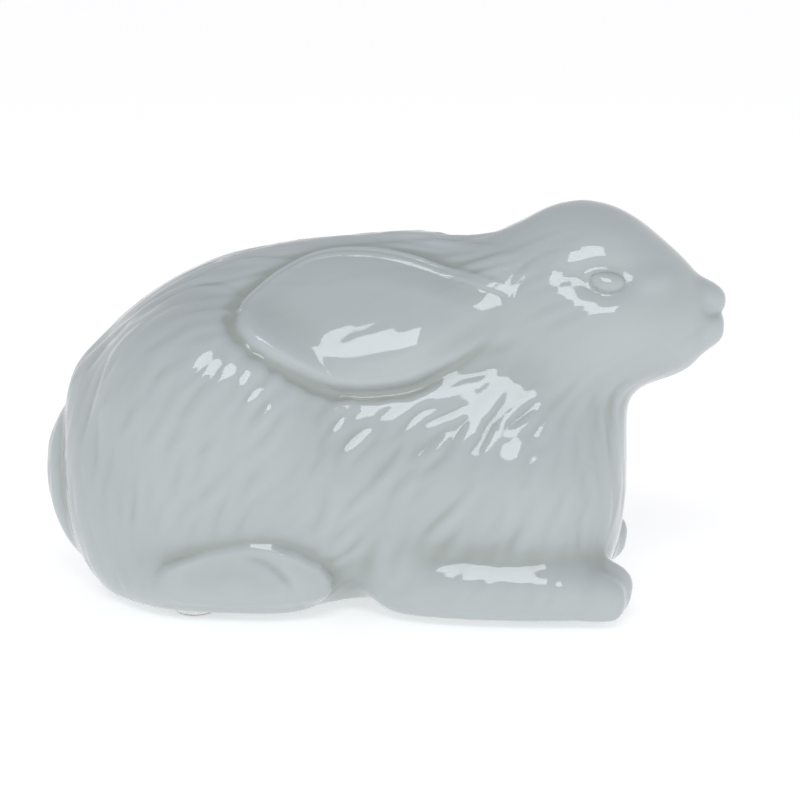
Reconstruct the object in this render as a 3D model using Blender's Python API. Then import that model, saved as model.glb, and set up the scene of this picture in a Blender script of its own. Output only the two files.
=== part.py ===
"""Ceramic rabbit figurine, crouching with its ears laid back, on four clear bumper pads.

Metres, +Z up, +X towards the nose, +Y to the rabbit's left. The origin is on the surface that it
stands on, under the middle of its bounding box.
The rabbit is one casting. Its pose, its forms and its carving are shares of its own length: the
stations below are in hundredths of BODY_LENGTH, with z from the casting's flat underside.
"""

import math

import bmesh
import bpy
import numpy as np
from mathutils import Vector, kdtree


# Driving sizes
BODY_LENGTH = 0.180
PAD_DIAMETER = 0.010
PAD_THICKNESS = 0.0021
PAD_EDGE_ROUNDING = 0.0007
ADHESIVE_GAP = 0.0003

BASE_HEIGHT = PAD_THICKNESS + ADHESIVE_GAP
SHARE = BODY_LENGTH / 100

# Trunk: x, top, bottom, half width, height of the widest place as a share of the slice, and how far
# the top is drawn in towards the spine as a share of the width
TRUNK = (
    (-48.2, 31.0, 12.0, 5.5, 0.50, 0.15),
    (-46.6, 35.0, 5.0, 10.5, 0.48, 0.15),
    (-44.4, 36.5, 1.0, 13.5, 0.46, 0.15),
    (-41.4, 39.5, -2.0, 15.8, 0.45, 0.15),
    (-36.5, 43.9, -7.0, 18.5, 0.49, 0.15),
    (-30.5, 48.0, -10.0, 20.4, 0.50, 0.16),
    (-23.0, 51.0, -10.0, 21.0, 0.49, 0.20),
    (-14.0, 53.1, -8.0, 20.8, 0.44, 0.32),
    (-4.5, 54.6, -1.5, 20.3, 0.36, 0.46),
    (4.5, 55.4, -2.0, 18.9, 0.37, 0.46),
    (12.5, 54.2, 0.0, 19.5, 0.36, 0.52),
    (20.0, 48.5, 0.0, 19.9, 0.40, 0.50),
    (26.5, 46.0, 0.0, 19.0, 0.40, 0.42),
    (33.2, 34.5, 2.0, 13.6, 0.48, 0.28),
    (36.2, 29.5, 12.0, 7.0, 0.50, 0.10),
)

# Head and neck: the same numbers as the trunk's
HEAD = (
    (6.0, 50.0, 36.0, 8.0, 0.50, 0.26),
    (12.5, 53.4, 31.0, 11.0, 0.50, 0.26),
    (18.5, 55.8, 27.0, 11.6, 0.48, 0.22),
    (23.5, 59.0, 24.0, 12.3, 0.44, 0.20),
    (28.5, 60.2, 24.5, 13.4, 0.40, 0.20),
    (33.0, 59.5, 28.0, 13.8, 0.40, 0.20),
    (37.0, 57.6, 31.2, 13.0, 0.40, 0.20),
    (41.0, 54.2, 32.6, 11.0, 0.42, 0.18),
    (45.0, 50.8, 33.5, 8.6, 0.44, 0.14),
    (47.6, 48.2, 35.0, 5.6, 0.46, 0.10),
)

# Legs, toes, tail, lip and nose: x, y, z, half width across, half height, all on the left side
HAUNCH = (
    (-38.0, 7.0, 21.0, 8.0, 13.0),
    (-30.0, 10.0, 23.5, 12.2, 20.5),
    (-22.0, 12.0, 23.5, 11.0, 20.0),
    (-13.5, 12.6, 19.5, 8.8, 13.5),
    (-7.5, 12.0, 15.0, 5.5, 7.0),
)
SHOULDER = (
    (4.0, 9.5, 16.0, 5.0, 8.0),
    (9.5, 10.6, 19.0, 7.6, 10.5),
    (16.0, 11.0, 19.0, 8.4, 10.5),
    (22.5, 10.6, 19.0, 8.4, 9.5),
    (28.0, 9.0, 18.5, 5.0, 8.0),
)
FORELEG = (
    (11.0, 10.5, 15.0, 6.8, 8.0),
    (3.8, 12.2, 9.6, 5.6, 6.6),
    (4.4, 12.2, 4.8, 6.2, 6.2),
    (13.0, 13.1, 3.8, 6.8, 6.1),
    (23.0, 13.3, 3.8, 6.8, 5.8),
    (29.5, 13.0, 3.6, 6.6, 5.2),
    (32.6, 12.6, 3.2, 4.9, 3.8),
    (34.2, 12.2, 3.0, 2.2, 2.0),
)
FORE_TOES = (
    ((27.0, 9.6, 3.8, 2.6, 3.6), (31.8, 9.0, 3.3, 2.9, 4.3),
     (34.6, 8.9, 2.9, 2.4, 3.5), (36.1, 8.9, 2.7, 1.2, 2.0)),
    ((27.0, 12.0, 4.0, 2.8, 4.0), (32.6, 12.0, 3.5, 3.1, 4.7),
     (35.7, 12.0, 3.1, 2.6, 3.9), (37.4, 12.0, 2.8, 1.3, 2.2)),
    ((27.0, 15.4, 3.4, 2.6, 3.6), (31.8, 15.9, 2.9, 2.9, 4.1),
     (34.8, 15.9, 2.6, 2.4, 3.4), (36.5, 15.8, 2.4, 1.2, 1.8)),
)
HIND_FOOT = (
    (-37.0, 12.6, 3.6, 2.4, 3.4),
    (-31.0, 14.0, 4.4, 5.6, 5.0),
    (-21.5, 14.6, 4.8, 6.3, 5.8),
    (-14.0, 14.4, 4.6, 6.1, 5.6),
    (-9.6, 13.6, 4.2, 4.8, 4.5),
    (-7.2, 13.0, 3.8, 2.6, 2.8),
)
TAIL = (
    (-46.6, 0.0, 27.0, 2.4, 2.2),
    (-47.6, 0.0, 21.0, 4.6, 3.6),
    (-47.4, 0.0, 14.8, 5.4, 3.9),
    (-45.8, 0.0, 8.4, 4.8, 3.4),
    (-44.0, 0.0, 4.2, 2.4, 2.2),
)
LIP = (
    (41.5, 0.0, 41.0, 7.4, 7.4),
    (45.4, 0.0, 40.7, 6.0, 4.9),
    (48.2, 0.0, 40.8, 4.6, 3.3),
    (50.2, 0.0, 40.8, 2.6, 2.0),
)
NOSE = (
    (44.0, 0.0, 45.0, 5.2, 4.0),
    (47.4, 0.0, 44.8, 4.0, 3.0),
    (49.4, 0.0, 44.4, 2.6, 2.1),
    (50.4, 0.0, 44.1, 1.2, 1.1),
)

# How much further back and higher the left forepaw lies than the right one
LEFT_PAW_BACK = 1.0
LEFT_PAW_UP = 2.0

# Clay: how finely it is skinned and fused, and how far the creases of each stage are rounded
RING_SIDES = 28
STEPS_BETWEEN_STATIONS = 5
MASS_VOXEL = 1.0
MASS_FILLET = 2.4
LEG_FILLET = 2.0
DETAIL_VOXEL = 0.60
DETAIL_FILLET = 0.9
EDGE_FILLET = 0.5
RABBIT_TRIANGLES = 9000

# Ears: x, then how far down the skin the upper and the lower edge lie, from the line of the spine
EAR = (
    (-20.1, 15.2, 16.6),
    (-19.6, 12.9, 18.8),
    (-18.0, 10.8, 21.0),
    (-15.0, 8.3, 23.2),
    (-11.0, 5.9, 25.5),
    (-7.4, 4.6, 27.3),
    (-3.6, 4.1, 28.0),
    (0.2, 4.3, 27.7),
    (4.5, 5.0, 26.5),
    (8.0, 5.9, 24.2),
    (12.0, 7.2, 20.6),
    (16.0, 9.0, 16.8),
    (19.5, 10.4, 14.0),
)
EAR_AXIS_HEIGHT = 28.0
EAR_SKIN_RADIUS = 23.0
EAR_RISE = 0.9
EAR_FLAP = 1.3
EAR_EDGE = 0.9
EAR_CROWN = 1.5
EAR_RIM = 0.35
EAR_RIM_WIDTH = 0.9
EAR_GROOVE = 0.55
EAR_GROOVE_WIDTH = 1.3

# Eyes: place on the side of the head, half length and half height of the eyeball
EYE = (33.0, 49.1)
EYE_HALF = (2.6, 1.65)
EYE_TILT = -6.0
EYE_RISE = 0.95
EYE_SOCKET = 0.92
SOCKET_REACH = 1.9

# Muzzle: the notch between the nose and the upper lip
NOSE_NOTCH = 0.38
NOTCH_HEIGHT = 42.9
NOTCH_WIDTH = 0.55

# Hind feet: the edge in the side view, and how far they stand proud of the haunches
HIND_FOOT_EDGE = (
    (-33.0, -4.0), (-32.4, 3.2), (-31.8, 5.6), (-30.4, 7.4), (-27.4, 8.7), (-24.2, 9.9), (-20.5, 10.8),
    (-17.7, 11.2), (-15.0, 11.1), (-11.4, 10.0), (-8.0, 8.0), (-6.6, 5.9), (-6.8, 3.7), (-8.4, 1.0),
    (-9.0, -4.0),
)
FOOT_FACE = 20.7
FOOT_LEAST_RISE = 0.35
FOOT_MOST_RISE = 1.2
FOOT_ROLL = 0.20
FOOT_ROLL_WIDTH = 0.9
FOOT_EDGE = 0.9

# Mouth and hind toes: shallow cuts along a line of the side view, deepest in the middle
MOUTH = ((43.6, 39.3), (46.6, 41.2), (51.0, 42.3))
HIND_TOE = ((-18.4, 9.4), (-15.6, 8.4), (-13.0, 6.0), (-11.6, 4.0), (-10.8, 1.4))
MOUTH_CUT = 0.3
TOE_CUT = 0.5
CUT_WIDTH = 0.75

# Bumper pads: distance along the body from the middle, and out from the centre line
FRONT_PAD = (24.0, 9.6)
REAR_PAD = (-26.2, 11.8)
PAD_SIDES = 20

# Fur: places of the combing and its angle there, down towards the tail
COMB = (
    (10.0, 52.0, 4.0), (-12.0, 51.0, 6.0), (-25.0, 48.0, 25.0), (-38.0, 41.0, 50.0), (-46.0, 28.0, 82.0),
    (5.0, 31.0, 42.0), (-10.0, 31.0, 45.0), (-22.0, 33.0, 55.0), (-33.0, 28.0, 74.0), (-43.0, 18.0, 92.0),
    (-10.0, 20.0, 48.0), (-24.0, 19.0, 60.0), (-34.0, 10.0, 78.0), (-3.0, 12.0, 58.0),
    (35.0, 40.0, 22.0), (24.0, 40.0, 32.0), (15.0, 42.0, 24.0), (40.0, 50.0, 20.0), (28.0, 55.0, 10.0),
    (18.0, 28.0, 60.0), (8.0, 20.0, 54.0), (25.0, 16.0, 68.0), (34.0, 25.0, 78.0), (34.0, 12.0, 82.0),
)
FUR_SEED = 7
FUR_SPACING = 3.0
FUR_LENGTH = 9.0
FUR_WIDTH = 1.3
FUR_DEPTH = 0.20

# Back: long thin ridges, by their distance from the spine
RIDGE_LINES = (1.2, 3.6, 6.2)
RIDGE_DEPTH = 0.16
RIDGE_WIDTH = 0.9
RIDGE_WANDER = 0.5


def along(stations, steps=STEPS_BETWEEN_STATIONS):
    """Rows between the stations, on one smooth curve through them."""
    rows = []
    last = len(stations) - 1
    for i in range(last):
        before = stations[max(i - 1, 0)]
        here = stations[i]
        there = stations[i + 1]
        after = stations[min(i + 2, last)]
        for step in range(steps):
            t = step / steps
            row = []
            for a, b, c, d in zip(before, here, there, after):
                bend = 2 * a - 5 * b + 4 * c - d + t * (3 * (b - c) + d - a)
                row.append(b + 0.5 * t * (c - a + t * bend))
            rows.append(row)
    rows.append(list(stations[-1]))
    return rows


def shifted(stations, back, up):
    """The same limb a little nearer to the tail and higher."""
    return [(x - back, y, z + up, across, tall) for x, y, z, across, tall in stations]


def upright_rings(stations):
    """Rings across the body, each in a plane of its own x."""
    rings = []
    for x, top, bottom, half_width, level, lean in along(stations):
        widest = bottom + level * (top - bottom)
        ring = []
        for side in range(RING_SIDES):
            turn = 2 * math.pi * side / RING_SIDES
            lift = math.sin(turn)
            reach = top - widest if lift > 0 else widest - bottom
            drawn_in = 1 - lean * max(lift, 0)
            ring.append(Vector((x, half_width * math.cos(turn) * drawn_in, widest + reach * lift)))
        rings.append(ring)
    return rings


def limb_rings(stations, mirror):
    """Rings square to the path of a limb, level across it."""
    rows = along(stations)
    middles = [Vector((row[0], row[1] * mirror, row[2])) for row in rows]
    rings = []
    for i, row in enumerate(rows):
        ahead = middles[min(i + 1, len(rows) - 1)] - middles[max(i - 1, 0)]
        across = Vector((-ahead.y, ahead.x, 0.0))
        if across.length < 1e-6:
            across = Vector((0.0, 1.0, 0.0))
        across.normalize()
        up = ahead.cross(across).normalized()
        ring = []
        for side in range(RING_SIDES):
            turn = 2 * math.pi * side / RING_SIDES
            ring.append(middles[i] + across * row[3] * math.cos(turn) + up * row[4] * math.sin(turn))
        rings.append(ring)
    return rings


def skin_rings(mesh, rings):
    """Skin a row of rings into one closed body."""
    loops = []
    for ring in rings:
        loops.append([mesh.verts.new(point * SHARE) for point in ring])
    for lower, upper in zip(loops, loops[1:]):
        for i in range(RING_SIDES):
            j = (i + 1) % RING_SIDES
            mesh.faces.new((lower[i], lower[j], upper[j], upper[i]))
    for loop in (loops[0], loops[-1]):
        middle = sum((vert.co for vert in loop), Vector()) / RING_SIDES
        tip = mesh.verts.new(middle)
        for i in range(RING_SIDES):
            mesh.faces.new((loop[i], loop[(i + 1) % RING_SIDES], tip))


def remeshed(data, voxel):
    """Fuse overlapping closed bodies into one skin of even quads."""
    obj = bpy.data.objects.new("clay", data)
    bpy.context.scene.collection.objects.link(obj)
    modifier = obj.modifiers.new("fuse", "REMESH")
    modifier.mode = "VOXEL"
    modifier.voxel_size = voxel * SHARE
    graph = bpy.context.evaluated_depsgraph_get()
    result = bpy.data.meshes.new_from_object(obj.evaluated_get(graph))
    bpy.data.objects.remove(obj)
    return result


def eased_points(data, points, steps, amount=1.0):
    """Draw each point towards the middle of its neighbours, a number of times."""
    pairs = np.empty(2 * len(data.edges), np.int32)
    data.edges.foreach_get("vertices", pairs)
    one, other = pairs.reshape(-1, 2).T
    count = len(points)
    neighbours = np.bincount(pairs, minlength=count)[:, None]
    amount = np.broadcast_to(amount, count)[:, None]
    for _ in range(steps):
        total = np.empty_like(points)
        for k in range(3):
            total[:, k] = np.bincount(one, points[other, k], count)
            total[:, k] += np.bincount(other, points[one, k], count)
        points = points + 0.5 * amount * (total / neighbours - points)
    return points


def fused(pieces, start, voxel, fillet):
    """Fuse overlapping bodies into one skin and round its creases to about the fillet's radius."""
    mesh = bmesh.new()
    if start:
        mesh.from_mesh(start)
    for rings in pieces:
        skin_rings(mesh, rings)
    bmesh.ops.recalc_face_normals(mesh, faces=mesh.faces[:])
    data = bpy.data.meshes.new("clay")
    mesh.to_mesh(data)
    mesh.free()
    data = remeshed(data, voxel)
    put_points(data, eased_points(data, points_of(data)[0], round(4 * (fillet / voxel) ** 2)))
    return data


def points_of(data):
    """The mesh's points and outward normals, in shares of the length."""
    count = len(data.vertices)
    points = np.empty(3 * count, np.float32)
    normals = np.empty(3 * count, np.float32)
    data.vertices.foreach_get("co", points)
    data.vertex_normals.foreach_get("vector", normals)
    return points.reshape(-1, 3).astype(float) / SHARE, normals.reshape(-1, 3).astype(float)


def put_points(data, points):
    data.vertices.foreach_set("co", (points * SHARE).astype(np.float32).ravel())
    data.update()


def ease(low, high, value):
    """0 below low, 1 above high and a smooth slope between."""
    t = np.clip((value - low) / (high - low), 0, 1)
    return t * t * (3 - 2 * t)


def hump(distance, width):
    return np.exp(-((distance / width) ** 2))


def depth_inside(u, v, outline):
    """Signed distance from a closed line: positive inside it."""
    distance = np.full(len(u), 1e9)
    inside = np.zeros(len(u), bool)
    for (a, b), (c, d) in zip(outline, outline[1:] + outline[:1]):
        run, rise = c - a, d - b
        share = np.clip(((u - a) * run + (v - b) * rise) / (run * run + rise * rise), 0, 1)
        distance = np.minimum(distance, np.hypot(u - a - share * run, v - b - share * rise))
        if b != d:
            inside ^= ((b > v) != (d > v)) & (u < a + (v - b) / rise * run)
    return np.where(inside, distance, -distance)


def ear_place(points):
    """How deep inside the ear's edge each point lies, and where it is across it, -1 to 1 downwards."""
    down = EAR_SKIN_RADIUS * np.arctan2(np.abs(points[:, 1]), points[:, 2] - EAR_AXIS_HEIGHT)
    rows = np.array(along(EAR))
    outline = [(x, upper) for x, upper, lower in rows] + [(x, lower) for x, upper, lower in rows[::-1]]
    upper = np.interp(points[:, 0], rows[:, 0], rows[:, 1])
    lower = np.interp(points[:, 0], rows[:, 0], rows[:, 2])
    return depth_inside(points[:, 0], down, outline), (2 * down - upper - lower) / (lower - upper)


def ear_height(points):
    """How far the ears stand above the flank, and where the flank is under an ear."""
    depth, across = ear_place(points)
    low_edge = ease(-0.5, 0.1, across)
    along_ear = ease(-20.0, 2.0, points[:, 0])
    height = (EAR_RISE + EAR_FLAP * along_ear * ease(-1, 1, across)) * ease(-EAR_EDGE, EAR_EDGE, depth)
    crown = np.clip(1 - ((across - 0.1) / 1.1) ** 2, 0, 1) * ease(0, 5, depth)
    height += EAR_CROWN * crown * along_ear
    height *= 1 - ease(5.0, 18.0, points[:, 0])
    rim = hump(depth - EAR_EDGE, EAR_RIM_WIDTH) * (1 - low_edge)
    height += EAR_RIM * rim * (1 - ease(15.0, 21.0, points[:, 0]))
    groove = hump(depth + EAR_EDGE + EAR_GROOVE_WIDTH / 2, EAR_GROOVE_WIDTH)
    height -= EAR_GROOVE * groove * (0.3 + 0.7 * low_edge) * (1 - ease(3.0, 14.0, points[:, 0]))
    return height, ease(-EAR_EDGE, 0, depth)


def eye_place(points):
    """Where each point lies by the nearer eye: its reach in eyeball sizes, and how far above it."""
    turn = math.radians(EYE_TILT)
    x = points[:, 0] - EYE[0]
    z = points[:, 2] - EYE[1]
    u = (x * math.cos(turn) + z * math.sin(turn)) / EYE_HALF[0]
    v = (z * math.cos(turn) - x * math.sin(turn)) / EYE_HALF[1]
    reach = np.sqrt(u * u + v * v)
    return np.where(np.abs(points[:, 1]) > 5, reach, 99), u, v


def eye_height(points):
    """Eyes: low domes in wide shallow sockets."""
    reach, u, v = eye_place(points)
    dome = EYE_RISE * np.sqrt(np.clip(1 - reach ** 2, 0, 1))
    return dome - EYE_SOCKET * hump(reach, SOCKET_REACH)


def nose_height(points):
    """The notch between the nose and the upper lip."""
    return -NOSE_NOTCH * hump(points[:, 2] - NOTCH_HEIGHT, NOTCH_WIDTH) * ease(46.5, 49.5, points[:, 0])


def foot_height(points):
    """The hind feet: flat leaves on the haunches with a rolled upper edge."""
    side = np.abs(points[:, 1])
    depth = depth_inside(points[:, 0], points[:, 2], list(HIND_FOOT_EDGE))
    rise = np.clip(FOOT_FACE - side, FOOT_LEAST_RISE, FOOT_MOST_RISE)
    fade = ease(-34, -27, points[:, 0]) * (side > 12) * ease(1, 4, points[:, 2])
    roll = FOOT_ROLL * hump(depth - FOOT_EDGE, FOOT_ROLL_WIDTH)
    return (rise * ease(-FOOT_EDGE, FOOT_EDGE, depth) + roll) * fade


def line_cut(points, line, depth, least_side):
    """A shallow cut that follows a line of the side view on both sides and fades at its ends."""
    cut = np.zeros(len(points))
    rows = along(line)
    for i, (x, z) in enumerate(rows):
        strength = math.sin(math.pi * (i + 0.5) / len(rows)) ** 0.5
        gap = np.hypot(points[:, 0] - x, points[:, 2] - z)
        cut = np.maximum(cut, strength * hump(gap, CUT_WIDTH))
    return -depth * cut * (np.abs(points[:, 1]) > least_side)


def combing(points):
    """The way the fur lies: a unit direction in the side view, for each point."""
    total = np.zeros((len(points), 2))
    for x, z, angle in COMB:
        near = 1 / ((points[:, 0] - x) ** 2 + (points[:, 2] - z) ** 2 + 9.0) ** 1.5
        total[:, 0] -= near * math.cos(math.radians(angle))
        total[:, 1] -= near * math.sin(math.radians(angle))
    return total / np.linalg.norm(total, axis=1)[:, None]


def fur_amount(points):
    """How deep the fur is cut: full on the body, faint on the head, none on the feet and the base."""
    x, y, z = points[:, 0], np.abs(points[:, 1]), points[:, 2]
    amount = 1 - 0.55 * ease(12, 22, x) * ease(30, 37, z) - 0.3 * ease(24, 34, x) * ease(34, 42, z)
    forefoot = ease(6, 10, x) * (1 - ease(7.5, 10.5, z))
    hindfoot = (1 - ease(-9, -6, x)) * (1 - ease(11, 14, z)) * ease(-36, -33, x)
    return amount * (1 - 0.6 * forefoot) * (1 - 0.8 * hindfoot) * ease(1, 4, z)


def fur_height(points, normals):
    """The strokes' height over the smooth clay."""
    picker = np.random.default_rng(FUR_SEED)
    tree = kdtree.KDTree(len(points))
    for i, point in enumerate(points):
        tree.insert(point, i)
    tree.balance()
    height = np.zeros(len(points))
    amount = fur_amount(points)
    taken = np.zeros(len(points), bool)
    for index in picker.permutation(len(points)):
        if taken[index] or amount[index] < 0.1:
            continue
        size = picker.uniform(0.75, 1.25, 3)
        turn = picker.normal(0, 0.13)
        bend = picker.normal(0, 0.022)
        centre = points[index]
        near = [hit[1] for hit in tree.find_range(centre, FUR_SPACING)]
        taken[near] = True
        flow = combing(points[index:index + 1])[0]
        normal = normals[index]
        ahead = np.array((flow[0], 0.0, flow[1]))
        ahead -= normal * (ahead @ normal)
        ahead /= np.linalg.norm(ahead)
        across = np.cross(normal, ahead)
        ahead, across = (ahead * math.cos(turn) + across * math.sin(turn),
                         across * math.cos(turn) - ahead * math.sin(turn))
        back = ease(43, 48, centre[2]) * (1 - ease(24, 30, centre[0]))
        length = FUR_LENGTH * size[0] * (1 + 0.8 * back)
        width = FUR_WIDTH * size[1] * (1 - 0.35 * back)
        around = np.array([hit[1] for hit in tree.find_range(centre, length * 0.62)])
        offset = points[around] - centre
        u = offset @ ahead / (length / 2)
        v = (offset @ across - bend * (offset @ ahead) ** 2) / width
        facing = np.clip(normals[around] @ normal, 0, 1)
        taper = np.clip(1 - u * u, 0, 1)
        wedge = 0.55 * hump(v - 0.75, 0.8) - hump(v + 0.35, 0.62)
        height[around] += FUR_DEPTH * size[2] ** 4 * taper * wedge * facing
    return np.clip(height, -3 * FUR_DEPTH, 2 * FUR_DEPTH) * amount


def back_ridges(points):
    """Long thin ridges combed along the back, on both sides of the spine."""
    x, side, z = points[:, 0], np.abs(points[:, 1]), points[:, 2]
    along_back = ease(22, 30, z) * ease(-49, -46, x) * (1 - ease(4, 12, x))
    height = np.zeros(len(points))
    for i, line in enumerate(RIDGE_LINES):
        wander = RIDGE_WANDER * np.sin(x / (5.0 + i) + 2.0 * i)
        strength = 0.6 + 0.4 * np.sin(x / (3.6 + 0.7 * i) + i)
        height += RIDGE_DEPTH * strength * hump(side - line - wander, RIDGE_WIDTH)
    return height * along_back


def finish(name, colour, roughness, clearness):
    material = bpy.data.materials.new(name)
    material.use_nodes = True
    shader = material.node_tree.nodes["Principled BSDF"]
    shader.inputs["Base Color"].default_value = (*colour, 1)
    shader.inputs["Roughness"].default_value = roughness
    shader.inputs["Metallic"].default_value = 0.0
    shader.inputs["Transmission Weight"].default_value = clearness
    return material


def model_rabbit():
    """The casting: big masses, legs, toes and muzzle, then a flat underside, then the carving."""
    masses = [upright_rings(TRUNK), upright_rings(HEAD)]
    legs = []
    details = [limb_rings(TAIL, 1), limb_rings(LIP, 1), limb_rings(NOSE, 1)]
    for mirror in (1, -1):
        back, up = (LEFT_PAW_BACK, LEFT_PAW_UP) if mirror == 1 else (0, 0)
        masses.append(limb_rings(HAUNCH, mirror))
        masses.append(limb_rings(SHOULDER, mirror))
        legs.append(limb_rings(shifted(FORELEG, back, up), mirror))
        legs.append(limb_rings(HIND_FOOT, mirror))
        for toe in FORE_TOES:
            details.append(limb_rings(shifted(toe, back, up), mirror))
    body = fused(masses, None, MASS_VOXEL, MASS_FILLET)
    body = fused(legs, body, MASS_VOXEL, LEG_FILLET)
    body = fused(details, body, DETAIL_VOXEL, DETAIL_FILLET)
    points, normals = points_of(body)
    points[:, 2] = np.maximum(points[:, 2], 0)
    put_points(body, points)
    body = fused([], body, DETAIL_VOXEL, EDGE_FILLET)
    points, normals = points_of(body)
    ears, on_ear = ear_height(points)
    height = ears + eye_height(points) + nose_height(points) + foot_height(points)
    height += line_cut(points, MOUTH, MOUTH_CUT, 0.0) + line_cut(points, HIND_TOE, TOE_CUT, 12.0)
    height += (fur_height(points, normals) + back_ridges(points)) * (1 - 0.8 * on_ear)
    points += normals * (height * ease(0.2, 1.5, points[:, 2]))[:, None]
    low, high = points[:, 0].min(), points[:, 0].max()
    points[:, 0] -= (low + high) / 2
    points *= 100 / (high - low)
    points[:, 2] += BASE_HEIGHT / SHARE
    put_points(body, points)
    body.shade_smooth()
    body.materials.append(finish("celadon grey glaze", (0.50, 0.55, 0.56), 0.08, 0.0))
    body.name = "rabbit"
    obj = bpy.data.objects.new("rabbit", body)
    bpy.context.scene.collection.objects.link(obj)
    thin = obj.modifiers.new("thin out", "DECIMATE")
    thin.ratio = RABBIT_TRIANGLES / (2 * len(body.vertices))
    return obj


def model_pad(name, x, y, rubber):
    """A clear self-adhesive bumper: a disc with its lower edge rounded, flat where it stands."""
    mesh = bmesh.new()
    bmesh.ops.create_cone(
        mesh, cap_ends=True, segments=PAD_SIDES, radius1=PAD_DIAMETER / 2,
        radius2=PAD_DIAMETER / 2, depth=PAD_THICKNESS)
    lower = []
    for edge in mesh.edges:
        if all(vert.co.z < 0 for vert in edge.verts):
            lower.append(edge)
    bmesh.ops.bevel(mesh, geom=lower, offset=PAD_EDGE_ROUNDING, segments=2, profile=0.5, affect="EDGES")
    bmesh.ops.translate(mesh, verts=mesh.verts[:], vec=(0, 0, PAD_THICKNESS / 2))
    data = bpy.data.meshes.new(name)
    mesh.to_mesh(data)
    mesh.free()
    data.shade_smooth()
    data.materials.append(rubber)
    obj = bpy.data.objects.new(name, data)
    obj.location = (x * SHARE, y * SHARE, 0)
    bpy.context.scene.collection.objects.link(obj)
    return obj


for old in list(bpy.data.objects):
    bpy.data.objects.remove(old)

rabbit = model_rabbit()
clear_rubber = finish("clear rubber", (0.62, 0.63, 0.64), 0.25, 0.9)
for end, x, out in (("front", *FRONT_PAD), ("rear", *REAR_PAD)):
    model_pad("bumper_pad_" + end + "_left", x, out, clear_rubber)
    model_pad("bumper_pad_" + end + "_right", x, -out, clear_rubber)
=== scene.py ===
import math

import bmesh
import bpy
import numpy as np
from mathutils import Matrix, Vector, kdtree


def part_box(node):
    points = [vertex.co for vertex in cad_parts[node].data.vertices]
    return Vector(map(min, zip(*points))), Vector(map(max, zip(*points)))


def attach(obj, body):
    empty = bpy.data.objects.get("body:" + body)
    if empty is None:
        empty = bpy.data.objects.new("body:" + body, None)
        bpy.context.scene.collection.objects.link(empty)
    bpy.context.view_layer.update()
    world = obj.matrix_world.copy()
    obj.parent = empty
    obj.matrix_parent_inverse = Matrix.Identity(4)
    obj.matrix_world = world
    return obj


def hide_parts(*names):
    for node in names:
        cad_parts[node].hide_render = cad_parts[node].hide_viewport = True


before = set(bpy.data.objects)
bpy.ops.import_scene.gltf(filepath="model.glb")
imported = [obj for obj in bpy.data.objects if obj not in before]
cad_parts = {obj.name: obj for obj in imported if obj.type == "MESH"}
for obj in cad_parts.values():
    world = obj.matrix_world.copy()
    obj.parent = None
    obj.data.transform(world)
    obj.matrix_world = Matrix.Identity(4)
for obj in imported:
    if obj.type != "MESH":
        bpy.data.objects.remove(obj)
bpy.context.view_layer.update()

# The rabbit is one slip-cast stoneware figurine: the trunk, head and legs were modelled in clay, a
# mould was taken, and the cast was cut flat underneath. Its stations are hundredths of its length,
# which the frame gives, with z from the flat underside.
RABBIT_LOW, RABBIT_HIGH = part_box("rabbit")
SHARE = (RABBIT_HIGH[0] - RABBIT_LOW[0]) / 100
BASE_HEIGHT = RABBIT_LOW[2]

# Trunk, head and neck: x, top, bottom, half width, height of the widest place as a share of the
# slice, and how far its top is drawn in towards the spine as a share of the width
TRUNK = (
    (-48.2, 31.0, 12.0, 5.5, 0.50, 0.15),
    (-46.6, 35.0, 5.0, 10.5, 0.48, 0.15),
    (-44.4, 36.5, 1.0, 13.5, 0.46, 0.15),
    (-41.4, 39.5, -2.0, 15.8, 0.45, 0.15),
    (-36.5, 43.9, -7.0, 18.5, 0.49, 0.15),
    (-30.5, 48.0, -10.0, 20.4, 0.50, 0.16),
    (-23.0, 51.0, -10.0, 21.0, 0.49, 0.20),
    (-14.0, 53.1, -8.0, 20.8, 0.44, 0.32),
    (-4.5, 54.6, -1.5, 20.3, 0.36, 0.46),
    (4.5, 55.4, -2.0, 18.9, 0.37, 0.46),
    (12.5, 54.2, 0.0, 19.5, 0.36, 0.52),
    (20.0, 48.5, 0.0, 19.9, 0.40, 0.50),
    (26.5, 46.0, 0.0, 19.0, 0.40, 0.42),
    (33.2, 34.5, 2.0, 13.6, 0.48, 0.28),
    (36.2, 29.5, 12.0, 7.0, 0.50, 0.10),
)
HEAD = (
    (6.0, 50.0, 36.0, 8.0, 0.50, 0.26),
    (12.5, 53.4, 31.0, 11.0, 0.50, 0.26),
    (18.5, 55.8, 27.0, 11.6, 0.48, 0.22),
    (23.5, 59.0, 24.0, 12.3, 0.44, 0.20),
    (28.5, 60.2, 24.5, 13.4, 0.40, 0.20),
    (33.0, 59.5, 28.0, 13.8, 0.40, 0.20),
    (37.0, 57.6, 31.2, 13.0, 0.40, 0.20),
    (41.0, 54.2, 32.6, 11.0, 0.42, 0.18),
    (45.0, 50.8, 33.5, 8.6, 0.44, 0.14),
    (47.6, 48.2, 35.0, 5.6, 0.46, 0.10),
)

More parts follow.
